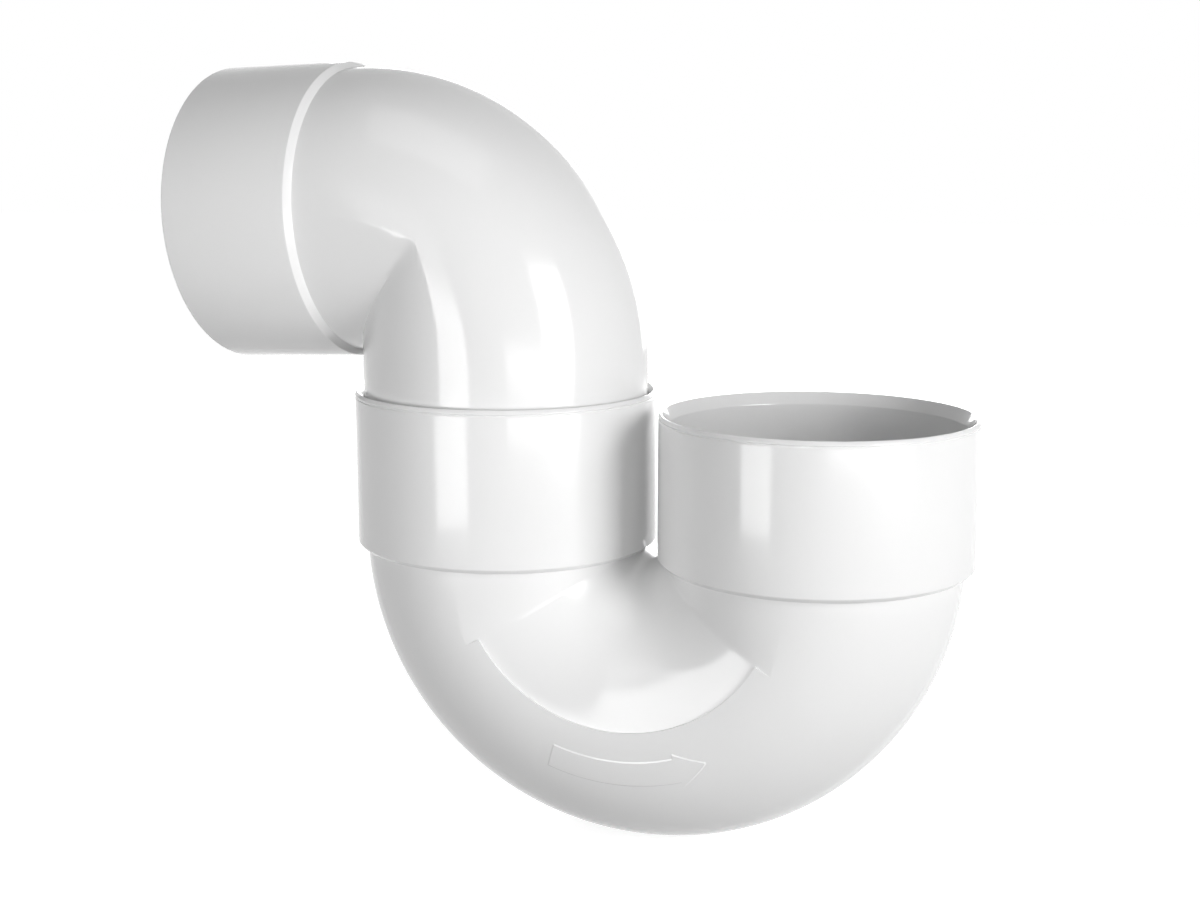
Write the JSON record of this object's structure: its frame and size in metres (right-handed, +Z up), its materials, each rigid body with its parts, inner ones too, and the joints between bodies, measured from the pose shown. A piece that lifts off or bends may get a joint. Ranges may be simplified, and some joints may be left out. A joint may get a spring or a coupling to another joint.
{
  "type": "boundary trap",
  "caption": "U-bend drain trap with two upright sockets and a swivelling square inlet bend pushed into one of them, for 110 mm pipe.",
  "frame": {"origin": "on the axis of the outlet leg, at the stop inside its socket, where the end of a pipe seats", "axes": "+Z up out of the outlet socket, -X from the outlet leg towards the inlet leg, and -Y towards the side with the flow arrow"},
  "size_m": [0.3002, 0.1228, 0.2965],
  "materials": {
    "trap_body": "gloss",
    "inlet_bend": "gloss"
  },
  "bodies": {
    "trap": {"trap_body": "trap_body"},
    "inlet": {"inlet_bend": "inlet_bend"}
  },
  "joints": [
    {"name": "inlet_swivel", "type": "hinge", "parent": "trap", "child": "inlet", "pos_m": [-0.1226, 0, 0], "axis": [0, 0, 1], "continuous": true}
  ]
}
